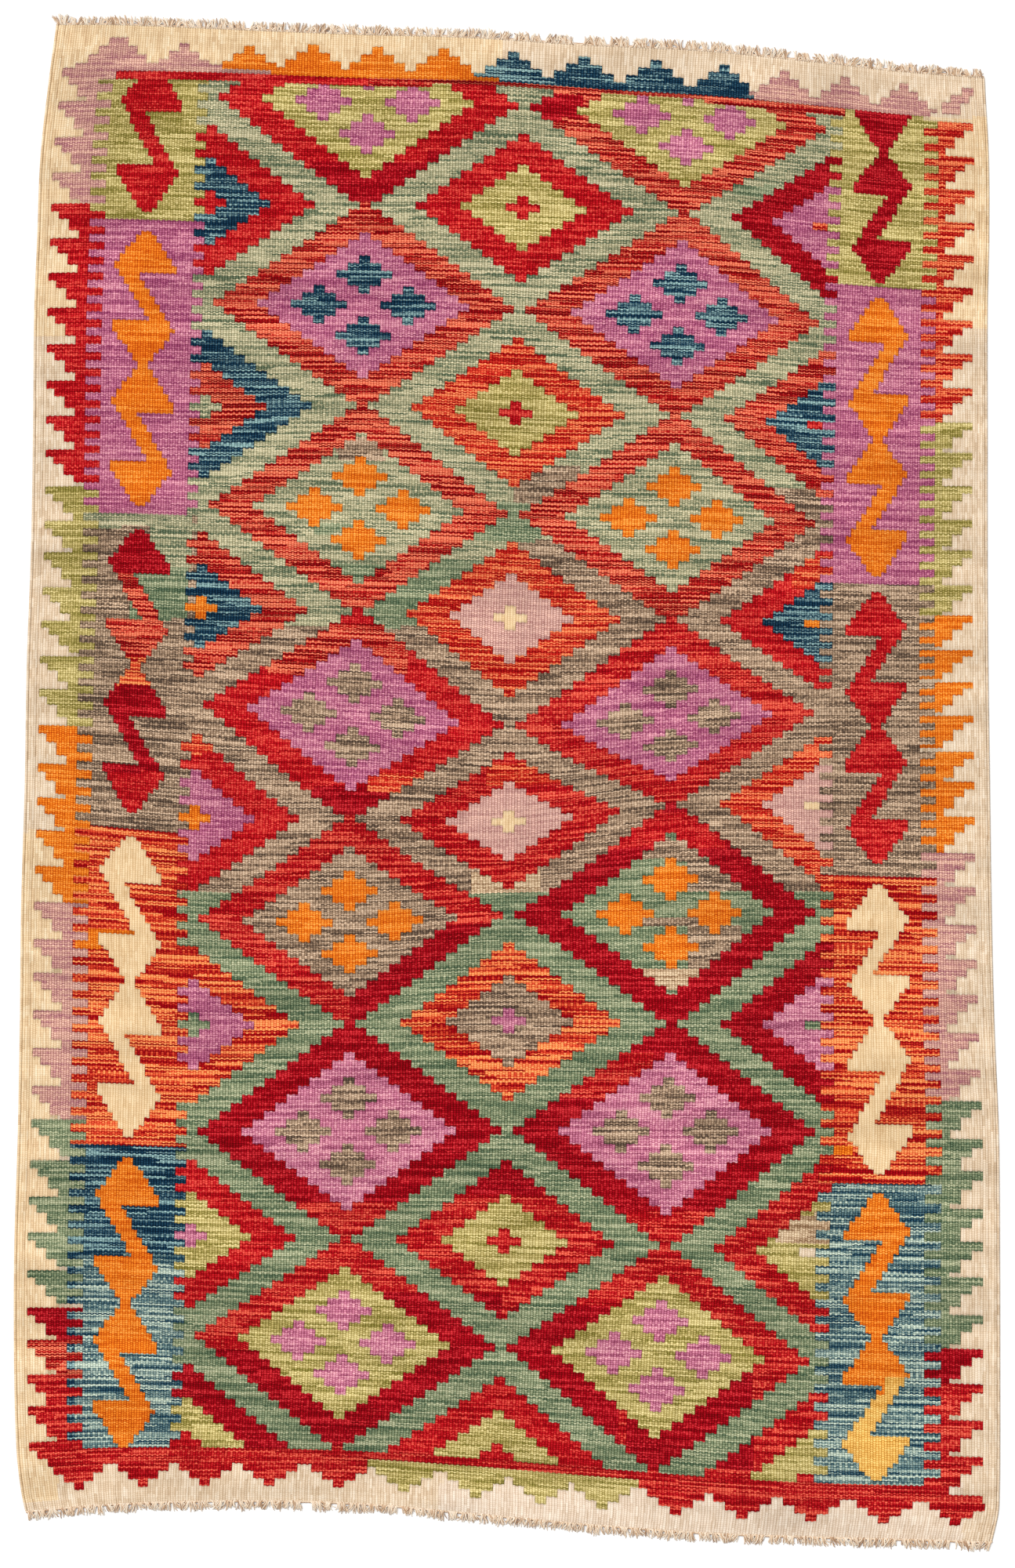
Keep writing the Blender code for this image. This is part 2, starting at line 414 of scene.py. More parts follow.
# Where the weaver went on with another lot of yarn: cells of one yarn inside a laid box change.
DYE_LOTS = [
    # was, becomes, left, right, top, bottom
    ("net", "taupe", 200, 1080, 800, 1138),
    ("net", "taupe", 650, 1080, 690, 800),
    ("net", "taupe", 655, 740, 596, 640),
    ("net", "taupe", 980, 1080, 622, 690),
    ("net", "celadon", 470, 645, 715, 806),
    ("net", "celadon", 600, 690, 640, 690),
    ("net", "celadon", 935, 990, 236, 250),
    ("net", "celadon", 900, 1080, 1062, 1138),
    ("net", "celadon", 200, 1080, 1138, 1900),
    ("taupe", "sand", 600, 690, 1112, 1140),
    ("taupe", "sage", 100, 245, 655, 672),
    ("taupe", "sage", 190, 245, 672, 722),
    ("taupe", "celadon", 165, 240, 722, 790),
    ("sage", "taupe", 430, 490, 555, 586),
    ("sage", "celadon", 400, 470, 668, 680),
    ("sage", "celadon", 420, 500, 720, 752),
    ("celadon", "taupe", 820, 900, 1070, 1097),
    ("celadon", "taupe", 878, 950, 1097, 1137),
    ("celadon", "taupe", 820, 890, 1168, 1182),
    ("celadon", "taupe", 878, 945, 1182, 1236),
    ("celadon", "sand", 818, 900, 1236, 1262),
    ("olive", "sand", 990, 1066, 1548, 1586),
    ("madder", "crimson", 395, 545, 205, 262),
    ("madder", "crimson", 545, 590, 190, 228),
    ("ember", "crimson", 675, 745, 120, 152),
    ("madder", "crimson", 125, 225, 668, 732),
    ("madder", "ember", 125, 225, 732, 836),
    ("madder", "flame", 150, 205, 836, 874),
    ("madder", "crimson", 120, 225, 874, 985),
    ("madder", "coral", 1010, 1066, 710, 752),
    ("madder", "ember", 340, 520, 795, 862),
    ("madder", "coral", 470, 545, 985, 1010),
    ("madder", "crimson", 385, 520, 1005, 1045),
    ("madder", "coral", 225, 290, 930, 962),
    ("russet", "coral", 620, 720, 972, 1000),
    ("russet", "crimson", 445, 640, 1178, 1300),
    ("crimson", "madder", 775, 925, 1035, 1082),
    ("crimson", "russet", 705, 835, 1343, 1402),
    ("crimson", "russet", 380, 520, 1532, 1582),
    ("crimson", "russet", 780, 930, 1546, 1590),
    ("russet", "crimson", 600, 700, 1470, 1522),
    ("russet", "crimson", 470, 640, 1650, 1722),
    ("russet", "crimson", 270, 620, 1722, 1846),
    ("russet", "crimson", 650, 790, 1665, 1860),
    ("russet", "crimson", 800, 960, 1732, 1875),
    ("blue", "heather", 95, 245, 1600, 1850),
    ("orange", "amber", 1130, 1180, 1757, 1782),
    ("orange", "amber", 1055, 1180, 1782, 1894),
    ("cream", "straw", 20, 140, 60, 430),
    ("cream", "straw", 20, 140, 1060, 1400),
    ("cream", "straw", 15, 74, 1400, 1915),
    ("cream", "straw", 60, 640, 25, 110),
    ("cream", "bone", 560, 1228, 1890, 1970),
    ("cream", "straw", 1170, 1290, 150, 420),
    ("flame", "orange", 112, 173, 1184, 1197),
    ("flame", "orange", 96, 128, 1197, 1210),
    ("flame", "orange", 1050, 1089, 1463, 1475),
]

chart = np.full((ROWS, RIBS), YARN_ORDER.index("cream"), np.int32)
drawn = chart.copy()  # the chart before the dye lots change: these leave no slits
NET = len(YARN_ORDER)


def paint(cells, yarn):
    chart[np.broadcast_to(cells, chart.shape)] = NET if yarn == "net" else YARN_ORDER.index(yarn)


def stepped_diamond(rib, step, reach):
    """Cells of a diamond that narrows by one step of width with each step of height."""
    height = np.floor(np.abs(STEP - step) + 0.5)
    return np.abs(RIB - rib) < (reach - height) * STEP_RIBS


def comb(even, odd):
    """The rib that two colours meet at, row by row."""
    return np.where(np.floor(STEP + 0.5) % 2, odd, even)


def ribs_between(start, end, down):
    """The ribs under a stretch of the band at that height."""
    return (RIB > chart_place(start, down)[0]) & (RIB < chart_place(end, down)[0])


def paint_field():
    low, high = comb(*FIELD_COMBS[0]), comb(*FIELD_COMBS[1])
    under_thin_line = ribs_between(550, 900, 120)
    top = np.where(under_thin_line, 10.5, 11.0)
    inside = (RIB > low) & (RIB < high) & (STEP > top) & (STEP < FIELD_END)
    paint(inside, "net")
    for row, *yarns in WHOLE_DIAMONDS:
        step = DIAMOND_ROW * (row + 0.5)
        for rib, (ring, filling, motifs) in zip((LEFT_WHOLE, RIGHT_WHOLE), (yarns[:3], yarns[3:])):
            paint(inside & stepped_diamond(rib, step, WHOLE_REACH), ring)
            paint(inside & stepped_diamond(rib, step, WHOLE_FILLING), filling)
            for away, lower in ((0, -1), (-1, 0), (1, 0), (0, 1)):
                motif = stepped_diamond(
                    rib + away * MOTIF_OFFSET * STEP_RIBS, step + lower * MOTIF_OFFSET, MOTIF_REACH)
                paint(inside & motif, motifs)
    for row, *yarns in SMALL_DIAMONDS:
        step = DIAMOND_ROW * row
        for place, rib in enumerate((LEFT_HALVES, MIDDLE, RIGHT_HALVES)):
            ring, filling, cross = yarns[3 * place:3 * place + 3]
            paint(inside & stepped_diamond(rib, step, SMALL_REACH), ring)
            paint(inside & stepped_diamond(rib, step, SMALL_FILLING), filling)
            mark = stepped_diamond(rib, step, CROSS_REACH)
            if rib == RIGHT_HALVES:
                mark &= np.abs(STEP - step) < 0.5
            paint(inside & mark, cross)
    # The fingers that reach into the borders go on with the yarn that they grow out of.
    (finger, left), (right, end) = FIELD_COMBS
    chart[:, finger:left] = chart[:, left:left + 1]
    chart[:, right:end] = chart[:, right - 1:right]


def hook(rib, top, bottom, turn):
    """Cells of one hooked figure of a border, which looks the same turned round."""
    down = DOWN[:, rib:rib + 1]
    share = (2 * down - top - bottom) / (bottom - top)
    shares, ribs = zip(*HOOK_EDGE)
    low = 2 * np.round(np.interp(share, shares, ribs) / 2)
    high = -2 * np.round(np.interp(-share, shares, ribs) / 2)
    beside = (RIB - rib) * turn
    return (np.abs(share) < 1) & (beside > low) & (beside < high)


def paint_border(blocks, hooks, hook_rib, low, high, start, turn):
    """One side border: blocks of colour, and a chain of hooks down the middle of them."""
    for ground, figure, down in blocks:
        end = step_on(hook_rib, down)
        block = (RIB > low) & (RIB < high) & (STEP > start) & (STEP < end)
        paint(block, ground)
        for top, bottom in hooks:
            paint(block & hook(hook_rib, top, bottom, turn), figure)
        start = end


def paint_teeth(teeth, side):
    """A saw of stepped teeth along the left (1) or right (2) side: each is longest at its top."""
    ribs_in = RIB if side == 1 else RIBS - RIB
    tip = TOOTH_STEPS[0][side]
    for yarn, first, last, count in teeth:
        for down in np.linspace(first, last, count):
            top = step_on(tip if side == 1 else RIBS - tip, down)
            for steps_down, *inset in TOOTH_STEPS:
                tooth = (STEP > top) & (STEP < top + steps_down) & (ribs_in > inset[side - 1])
                paint(tooth & (ribs_in < TEETH_REACH) & (STEP < LOWER_LINE_END), yarn)


def paint_ends():
    """The bands, lines and triangles at both ends."""
    for yarn, start, end in TOP_BAND:
        paint(ribs_between(start, end, 100) & (STEP > 9) & (STEP < 10), yarn)
    for yarn, across, tip in TOP_TRIANGLES:
        rib = chart_place(across, top_edge(across) + 40)[0]
        steps = np.floor(STEP - tip)
        paint((steps >= 0) & (STEP < 9.5) & (np.abs(RIB - rib) < (steps + 0.5) * STEP_RIBS), yarn)
    for top, bottom, start, end in CORNER_HOOK:
        paint((STEP > top) & (STEP < bottom) & (RIB > start) & (RIB < end), "mauve")
    for yarn, start, end, bottom in TOP_LINE:
        paint(ribs_between(start, end, 120) & (STEP > 10) & (STEP < bottom), yarn)

    low, high = chart_place(62, 1855)[0], BORDER_COMBS[1][1]
    line = (STEP > FIELD_END) & (STEP < LOWER_LINE_END)
    paint((RIB > low) & (RIB < high) & line, "russet")
    for yarn, across in BOTTOM_TRIANGLES:
        rib = chart_place(across, 1890)[0]
        rows = np.floor(STEP - LOWER_LINE_END)
        near = np.abs(RIB - rib)
        paint((rows >= 0) & (STEP < TRIANGLE_END) & (near < (2.5 - rows) * STEP_RIBS), yarn)
        if yarn == "olive":
            under_tips = (STEP > LOWER_LINE_END - 1) & (STEP < LOWER_LINE_END)
            paint(under_tips & (near < 3.2 * STEP_RIBS), yarn)


def draw_chart():
    paint_teeth(LEFT_TEETH, 1)
    paint_teeth(RIGHT_TEETH, 2)
    paint_field()
    field_left, field_right = [comb(*ribs) for ribs in FIELD_COMBS]
    teeth_left, teeth_right = [comb(*ribs) for ribs in BORDER_COMBS]
    paint_border(LEFT_BLOCKS, LEFT_HOOKS, LEFT_HOOK_RIB, teeth_left, field_left, 11, 1)
    paint_border(RIGHT_BLOCKS, RIGHT_HOOKS, RIGHT_HOOK_RIB, field_right, teeth_right, 10, -1)
    paint_ends()
    drawn[:] = chart
    for was, becomes, left, right, top, bottom in DYE_LOTS:
        cells = chart == (NET if was == "net" else YARN_ORDER.index(was))
        box = (ACROSS > left) & (ACROSS < right) & (DOWN > top) & (DOWN < bottom)
        chart[cells & box] = YARN_ORDER.index(becomes)
    chart[chart == NET] = YARN_ORDER.index("sage")


draw_chart()

# ---------------------------------------------------------------------------------------------
# Shader arithmetic
# ---------------------------------------------------------------------------------------------


class Value:
    """A shader socket that takes part in Python expressions."""

    def __init__(self, tree, socket):
        self.tree, self.socket = tree, socket

    def math(self, operation, *values):
        node = self.tree.nodes.new("ShaderNodeMath")
        node.operation = operation
        for slot, value in zip(node.inputs, values):
            put(self.tree, slot, value)
        return Value(self.tree, node.outputs[0])

    def __add__(self, other):
        return self.math("ADD", self, other)

    def __sub__(self, other):
        return self.math("SUBTRACT", self, other)

    def __rsub__(self, other):
        return self.math("SUBTRACT", other, self)

    def __mul__(self, other):
        return self.math("MULTIPLY", self, other)

    def __truediv__(self, other):
        return self.math("DIVIDE", self, other)

    def __pow__(self, other):
        return self.math("POWER", self, other)

    def __abs__(self):
        return self.math("ABSOLUTE", self)

    __radd__, __rmul__ = __add__, __mul__

    def floor(self):
        return self.math("FLOOR", self)

    def part(self):
        return self.math("FRACT", self)


def put(tree, slot, value):
    """Links a value to a socket, or sets the socket to a plain one."""
    if isinstance(value, Value):
        tree.links.new(value.socket, slot)
    else:
        slot.default_value = value


class Finish:
    """A material in the making: one Principled shader and the nodes that feed it."""

    def __init__(self, name, **constants):
        self.material = bpy.data.materials.new(name)
        self.material.use_nodes = True
        self.tree = self.material.node_tree
        self.shader = self.tree.nodes["Principled BSDF"]
        for socket, value in constants.items():
            self.shader.inputs[socket.replace("_", " ")].default_value = value

    def node(self, kind, settings, output=0, **inputs):
        """One node: its settings first, then the values or links of its sockets."""
        node = self.tree.nodes.new(kind)
        for name, value in settings.items():
            if name == "stops":
                ramp = node.color_ramp.elements
                while len(ramp) < len(value):
                    ramp.new(0.5)
                for stop, (place, colour) in zip(ramp, value):
                    stop.position, stop.color = place, colour
            else:
                setattr(node, name, value)
        for name, value in inputs.items():
            put(self.tree, node.inputs[name.replace("_", " ")], value)
        return Value(self.tree, node.outputs[output])

    def pair(self, x, y):
        return self.node("ShaderNodeCombineXYZ", {}, X=x, Y=y)

    def chance(self, x, y):
        """A number from 0 to 1 that depends on two whole numbers."""
        return self.node(
            "ShaderNodeTexWhiteNoise", {"noise_dimensions": "2D"}, Vector=self.pair(x, y))

    def cloud(self, x, y, detail=1.0):
        """A soft number from 0 to 1, about 0.5."""
        return self.node(
            "ShaderNodeTexNoise", {"noise_dimensions": "2D"}, Vector=self.pair(x, y), Scale=1.0,
            Detail=detail)

    def scaled(self, colour, amount):
        return self.node(
            "ShaderNodeVectorMath", {"operation": "SCALE"}, Vector=colour, Scale=amount)

    def feed(self, socket, value):
        put(self.tree, self.shader.inputs[socket], value)


def linear(rgb):
    """A colour in Blender's linear values, from the 0 to 255 of a dyer's card."""
    share = [c / 255 for c in rgb]
    return (*[c / 12.92 if c <= 0.04045 else ((c + 0.055) / 1.055) ** 2.4 for c in share], 1.0)


VALLEY_SHADE = 0.46  # painted shade: how much darker the yarn is made deep between two ribs
VALLEY_SHADE_DEPTH = 0.50  # painted shade: how much deeper its colour is made there
PLY_SHADE = 0.10  # painted shade: how much darker it is made between the two warp ends of a rib
PICK_SHADE = 0.42  # painted shade: how much darker it is made between two picks
# painted shade: how much deeper the colour is made between two picks
PICK_SHADE_DEPTH = 0.40
SEAM_SHADE = 0.50  # painted shade: how much darker it is made on the line where it meets another yarn
BEAD_HEIGHT = 0.30 * MM
PLY_HEIGHT = 0.10 * MM
FUZZ_HEIGHT = 0.10 * MM


def yarn_finish(name):
    """Weft yarn beaten down over the ribs, in beads. Each pick has its own shade for a stretch."""
    main, light, dark, streaks, beads, turns, run, bead_picks = YARNS[name]
    finish = Finish(
        name + "_wool", Roughness=0.95, Sheen_Weight=0.03, Sheen_Roughness=0.6,
        Specular_IOR_Level=0.02)
    weave = finish.node("ShaderNodeUVMap", {"uv_map": "weave"})
    rib = finish.node("ShaderNodeSeparateXYZ", {}, Vector=weave)
    pick = Value(finish.tree, rib.socket.node.outputs[1])

    # A pick goes over every other rib, so on neighbouring ribs the beads lie half a bead apart.
    line, whole, end = (pick * 1.5).floor(), rib.floor(), (rib * 2).floor()
    side = ((whole / 2).part() * 2).floor()
    place = pick + side * 0.5 + finish.chance(whole, (pick / 9).floor()) * 0.4
    over = place.floor() * 2 + side + 0.5
    stretch = (rib / run + finish.chance(line, 3.0) * 9).floor()
    own_stretch = (rib / (run * 0.7) + finish.chance(over, 5.0) * 9).floor()
    streak = finish.chance(line, stretch) * 0.7 + finish.chance(over, own_stretch) * 0.3
    swapped = (finish.chance(stretch, (line / 7).floor()) * 2).floor()
    turn = (((pick * 0.85).floor() + swapped) / 2).part() * 2
    spin = (place / bead_picks + finish.chance(whole, 7.0) * (bead_picks - 1)).floor()
    bead = finish.chance(whole, spin) * 0.5 + finish.chance(end, spin + 0.5) * 0.5
    shade = 0.5 + (streak - 0.5) * streaks + (bead - 0.5) * beads + (turn - 0.5) * turns
    colour = finish.node("ShaderNodeValToRGB", {"stops": [
        (0.10, linear(dark)),
        (0.50, linear(main)),
        (0.90, linear(light)),
    ]}, Fac=shade)

    # Painted shade: the colour is made deeper and darker deep between two ribs (valley), between
    # the two warp ends of a rib (ply) and between two picks (gap).
    off_middle = abs(rib.part() - 0.5) * 2
    valley, ply = off_middle ** 2.5, (1 - off_middle) ** 4
    gap = (abs(place.part() - 0.5) * 2) ** 3
    warp = finish.chance(whole, 11.0) * 0.08 + finish.chance(end, (pick / 14).floor()) * 0.10
    if bead_picks > 1:  # undyed yarn, spun finer and more even: less painted shade between ribs and picks, and less tone from rib to rib
        gap, valley, warp = gap * 0.3, valley * 0.7, warp * 0.5
    seam = finish.node("ShaderNodeAttribute", {"attribute_name": "seam"}, output=2)
    lot = finish.cloud(rib * 0.02, pick * 0.05, detail=2.0)
    # Painted shade: deeper colour in the valleys between ribs and in the gaps between picks.
    colour = finish.node(
        "ShaderNodeGamma", {}, Color=colour, Gamma=1 + valley * VALLEY_SHADE_DEPTH + gap * PICK_SHADE_DEPTH)
    # Painted shade: darker deep between ribs; lot and warp are the yarn's own tone, which differs
    # at random.
    tone_and_painted_shade = (1.14 + (lot - 0.5) * 0.55 + warp) * (1 - valley * VALLEY_SHADE)
    # Painted shade between the two warp ends of a rib and between two picks.
    tone_and_painted_shade = tone_and_painted_shade * (1 - ply * PLY_SHADE) * (1 - gap * PICK_SHADE)
    # Painted shade on the slits and seams where two yarns meet.
    tone_and_painted_shade = tone_and_painted_shade * (1 - seam ** 3 * SEAM_SHADE)
    finish.feed("Base Color", finish.scaled(colour, tone_and_painted_shade))

    across_bead = place.part() * 2 - 1
    fuzz = finish.cloud(rib * 9, pick * 5, detail=2.0)
    height = (1 - across_bead * across_bead) * BEAD_HEIGHT - ply * PLY_HEIGHT + fuzz * FUZZ_HEIGHT
    finish.feed("Normal", finish.node(
        "ShaderNodeBump", {}, Height=height, Distance=1.0, Strength=0.8))
    return finish.material


# ---------------------------------------------------------------------------------------------
# The cloth
# ---------------------------------------------------------------------------------------------

BANDS = 6  # the cloth's mesh is made in this many lengths, which meet row to row
CREST_HEIGHT, VALLEY_HEIGHT, SLIT_HEIGHT = 2.85 * MM, 2.2 * MM, 1.4 * MM
EDGE_HEIGHT, UNDERSIDE_HEIGHT = 1.7 * MM, 0.1 * MM
WAVE = 0.55  # mm that neighbouring ribs hold a pick up and down
RIB_WANDER, CROSSING_WANDER, PICK_WANDER = 0.10, 0.06, 0.12  # mm that yarns lie off their places
CREST_WANDER = 0.04 * MM
END_DROP = 0.35 * MM  # how much lower the first and the last weft line lie

# The outermost ribs are bundled into cords, with deeper valleys beside them, which are also painted
# darker as shade.
SELVEDGE_VALLEYS = [
    # rib, depth as a share of a slit's
    (1, 0.9), (4, 0.7), (6, 0.4),
]

cloth_low, cloth_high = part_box("woven_cloth")
LEAST_ACROSS, LEAST_DOWN = LINE_ACROSS.min(), LINE_DOWN.min()


def to_world(across, down):
    """Laid millimetres to the frame's metres, by the cloth's own box."""
    return cloth_low.x + (across - LEAST_ACROSS) * MM, cloth_high.y - (down - LEAST_DOWN) * MM


def slit_depths():
    """How open the cloth is beside each rib line: 1 where the yarn changes above and below."""
    change = np.zeros((ROWS + 2, RIBS + 1))
    change[1:-1, 1:-1] = drawn[:, 1:] != drawn[:, :-1]
    depths = (change[1:] + change[:-1]) / 2
    for rib, depth in SELVEDGE_VALLEYS:
        depths[:, [rib, -rib - 1]] = depth
    return depths


def seam_shade_lines(slits):
    """How much painted shade each vertex gets on a line between two yarns, beside a slit or between
    two picks.
    """
    painted_seam_shades = slits.copy()
    change = (drawn[1:] != drawn[:-1]) * 0.85
    painted_seam_shades[1:-1, 1::2] = change
    painted_seam_shades[1:-1, 2:-1:2] = np.maximum(painted_seam_shades[1:-1, 2:-1:2], np.minimum(change[:, 1:], change[:, :-1]))
    return painted_seam_shades


def cloth_surface():
    """Places of the upper side's vertices, and how much painted shade each gets on a seam of two
    yarns.
    """
    draw = np.random.default_rng(5)
    across, down = LINE_ACROSS.copy(), LINE_DOWN.copy()
    ribs = np.arange(RIBS)
    across[:, 1::2] += draw.normal(0, RIB_WANDER, (1, RIBS)) + draw.normal(
        0, CROSSING_WANDER, (ROWS + 1, RIBS))
    down[1:-1, 1::2] += np.where(ribs % 2, WAVE, -WAVE) + draw.normal(
        0, PICK_WANDER, (ROWS - 1, RIBS))
    slits = np.zeros(across.shape)
    slits[:, ::2] = slit_depths()
    height = np.full(across.shape, VALLEY_HEIGHT)
    height[:, 1::2] = CREST_HEIGHT + draw.normal(0, CREST_WANDER, (1, RIBS)) + draw.normal(
        0, CREST_WANDER, (ROWS + 1, RIBS))
    height -= slits * (VALLEY_HEIGHT - SLIT_HEIGHT)
    height[:, 0] = height[:, -1] = EDGE_HEIGHT
    height[0] -= END_DROP
    height[-1] -= END_DROP
    x, y = to_world(across, down)
    return np.stack([x, y, height], axis=-1), seam_shade_lines(slits)


class Patch:
    """Faces of one kind, with their yarns and their places on the bake's map."""

    def __init__(self, corners, yarns, places):
        self.corners = np.stack([c.ravel() for c in corners], axis=1)
        self.yarns = np.broadcast_to(yarns, corners[0].shape).ravel()
        self.places = np.stack(
            [np.stack([u.ravel(), v.ravel()], axis=1) for u, v in places], axis=1)


def grid_patch(index, order, yarns, low, high):
    """Quads between the rows and columns of an index grid, mapped to a box of the bake's map."""
    rows, cols = index.shape
    u, v = np.meshgrid(np.linspace(low[0], high[0], cols), np.linspace(high[1], low[1], rows))
    ends = {"a": np.s_[:-1, :-1], "b": np.s_[:-1, 1:], "c": np.s_[1:, 1:], "d": np.s_[1:, :-1]}
    return Patch(
        [index[ends[e]] for e in order], yarns, [(u[ends[e]], v[ends[e]]) for e in order])


def weave_length(number, first, last, surface, painted_seam_shades, materials):
    """One length of the cloth, from one weft row to another: a closed, ribbed slab."""
    top = surface[first:last + 1]
    under = top[:, ::2].copy()
    under[..., 2] = UNDERSIDE_HEIGHT
    top_index = np.arange(top[..., 0].size).reshape(top.shape[:2])
    under_index = top_index.size + np.arange(under[..., 0].size).reshape(under.shape[:2])
    cells = chart[first:last]
    gap = 0.004
    half = RIBS  # vertices' columns in half the cloth
    slopes = np.repeat(cells, 2, axis=1)  # each rib's two sides
    patches = [
        grid_patch(top_index[:, :half + 1], "dcba", slopes[:, :half], (0, 0.64), (1, 1)),
        grid_patch(top_index[:, half:], "dcba", slopes[:, half:], (0, 0.28), (1, 0.64 - gap)),
        grid_patch(under_index, "abcd", cells, (0, 0.08), (1, 0.28 - gap)),
    ]
    left = np.stack([under_index[:, 0], top_index[:, 0]], axis=1)
    right = np.stack([top_index[:, -1], under_index[:, -1]], axis=1)
    patches.append(grid_patch(left, "adcb", cells[:, :1], (0, 0.0), (0.02, 0.076)))
    patches.append(grid_patch(right, "adcb", cells[:, -1:], (0.03, 0.0), (0.05, 0.076)))
    for row, sign, low in ((0, 1, 0.0), (-1, -1, 0.04)):
        t, b = top_index[row], under_index[row]
        corners = [b[:-1], b[1:], t[2::2], t[1::2], t[:-1:2]]
        u = 0.06 + 0.94 * np.arange(RIBS + 1) / RIBS
        middle = (u[1:] + u[:-1]) / 2
        flat, raised = np.full(RIBS, low), np.full(RIBS, low + 0.03)
        places = [
            (u[:-1], flat), (u[1:], flat), (u[1:], raised), (middle, raised), (u[:-1], raised)]
        if sign > 0:
            corners, places = corners[::-1], places[::-1]
        patches.append(Patch(corners, cells[row], places))

    name = f"cloth_{number}"
    mesh = bpy.data.meshes.new(name)
    places = np.concatenate([top.reshape(-1, 3), under.reshape(-1, 3)])
    faces = [face for patch in patches for face in patch.corners.tolist()]
    mesh.from_pydata(places.tolist(), [], faces)
    yarns = np.concatenate([p.yarns for p in patches]).astype(np.int32)
    mesh.polygons.foreach_set("material_index", yarns)

    loops = np.concatenate([p.corners.ravel() for p in patches])
    rib_at = np.broadcast_to(HALF_RIBS, top.shape[:2])
    pick_at = np.broadcast_to(
        (np.arange(first, last + 1) * PICKS_PER_ROW)[:, None], top.shape[:2])
    weave = np.concatenate([
        np.stack([rib_at, pick_at], axis=-1).reshape(-1, 2),
        np.stack([rib_at[:, ::2], pick_at[:, ::2]], axis=-1).reshape(-1, 2),
    ])
    mesh.uv_layers.new(name="OFBake").data.foreach_set(
        "uv", np.concatenate([p.places.reshape(-1, 2) for p in patches]).ravel())
    mesh.uv_layers.new(name="weave").data.foreach_set("uv", weave[loops].ravel())
    # Painted shade for the seams between yarns, read by the yarn shader.
    seam = np.zeros(len(places))
    seam[:top_index.size] = painted_seam_shades[first:last + 1].ravel()
    mesh.attributes.new("seam", "FLOAT", "POINT").data.foreach_set("value", seam)
    for material in materials:
        mesh.materials.append(material)
    mesh.shade_smooth()
    mesh.set_sharp_from_angle(angle=math.radians(62))
    piece = bpy.data.objects.new(name, mesh)
    bpy.context.scene.collection.objects.link(piece)
    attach(piece, "root")
    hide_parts("woven_cloth")
    width = (LINE_ACROSS[first:last + 1, -1] - LINE_ACROSS[first:last + 1, 0]).mean() * MM
    length = (LINE_DOWN[last] - LINE_DOWN[first]).mean() * MM


def weave_cloth():
    materials = [yarn_finish(name) for name in YARN_ORDER]
    surface, painted_seam_shades = cloth_surface()
    cuts = [round(ROWS * i / BANDS) for i in range(BANDS + 1)]
    for i in range(BANDS):
        weave_length(i + 1, cuts[i], cuts[i + 1], surface, painted_seam_shades, materials)


weave_cloth()

# ---------------------------------------------------------------------------------------------
# The fringes
# ---------------------------------------------------------------------------------------------

FRINGE_PITCH = 8.4  # mm between knots
FRINGE_REACH = 15.0  # mm from the cloth to the cut ends
YARN_RADIUS = 0.58  # mm
STRANDS = (10, 11, 12, 12)  # yarns to a knot


def fringe_finish():
    """Undyed warp yarn, cream with brown strands, from one strand to the next."""
    finish = Finish("undyed_warp_yarn", Roughness=0.95, Sheen_Weight=0.2, Sheen_Roughness=0.6,
                    Specular_IOR_Level=0.2)
    weave = finish.node("ShaderNodeUVMap", {"uv_map": "weave"})
    strand = finish.node("ShaderNodeSeparateXYZ", {}, Vector=weave)
    along = Value(finish.tree, strand.socket.node.outputs[1])
    colour = finish.node("ShaderNodeValToRGB", {"stops": [
        (0.0, linear((166, 126, 94))),
        (0.25, linear((220, 182, 144))),
        (0.55, linear((246, 220, 190))),
        (1.0, linear((255, 242, 222))),
    ]}, Fac=finish.chance(strand.floor(), 7.0))
    twist = (strand.part() * 2 + along * 1.4).part()
    ply = abs(twist - 0.5) * 2
    # Painted shade in the grooves between the plies of the twist.
    finish.feed("Base Color", finish.scaled(colour, 1 - ply ** 3 * 0.30))
    finish.feed("Normal", finish.node(
        "ShaderNodeBump", {}, Height=(1 - ply * ply) * 0.25 * MM, Distance=1.0, Strength=0.8))
    return finish.material


def strand_tube(mesh, weave, path, radii, number, sides=4):
    """A yarn along a path of laid points and heights, in millimetres."""
    rings = []
    for i, point in enumerate(path):
        ahead = Vector(path[min(i + 1, len(path) - 1)]) - Vector(path[max(i - 1, 0)])
        side = ahead.cross(Vector((0, 0, 1))).normalized()
        rise = side.cross(ahead).normalized()
        ring = []
        for s in range(sides):
            angle = 2 * math.pi * (s + 0.5) / sides
            place = Vector(point) + (side * math.cos(angle) + rise * math.sin(angle)) * radii[i]
            x, y = to_world(place.x, place.y)
            ring.append(mesh.verts.new((x, y, max(place.z, 0.05) * MM)))
        rings.append(ring)

    def coat(face, us, vs):
        for loop, u, v in zip(face.loops, us, vs):
            loop[weave].uv = (number + 0.02 + 0.96 * u, v)

    for i in range(len(rings) - 1):
        for s in range(sides):
            n = (s + 1) % sides
            face = mesh.faces.new((rings[i][s], rings[i][n], rings[i + 1][n], rings[i + 1][s]))
            face.smooth = True
            near, far = s / sides, (s + 1) / sides
            coat(face, (near, far, far, near), (i, i, i + 1, i + 1))
    for ring, at in ((rings[0][::-1], 0), (rings[-1], len(rings) - 1)):
        coat(mesh.faces.new(ring), [0.5] * sides, [at] * sides)


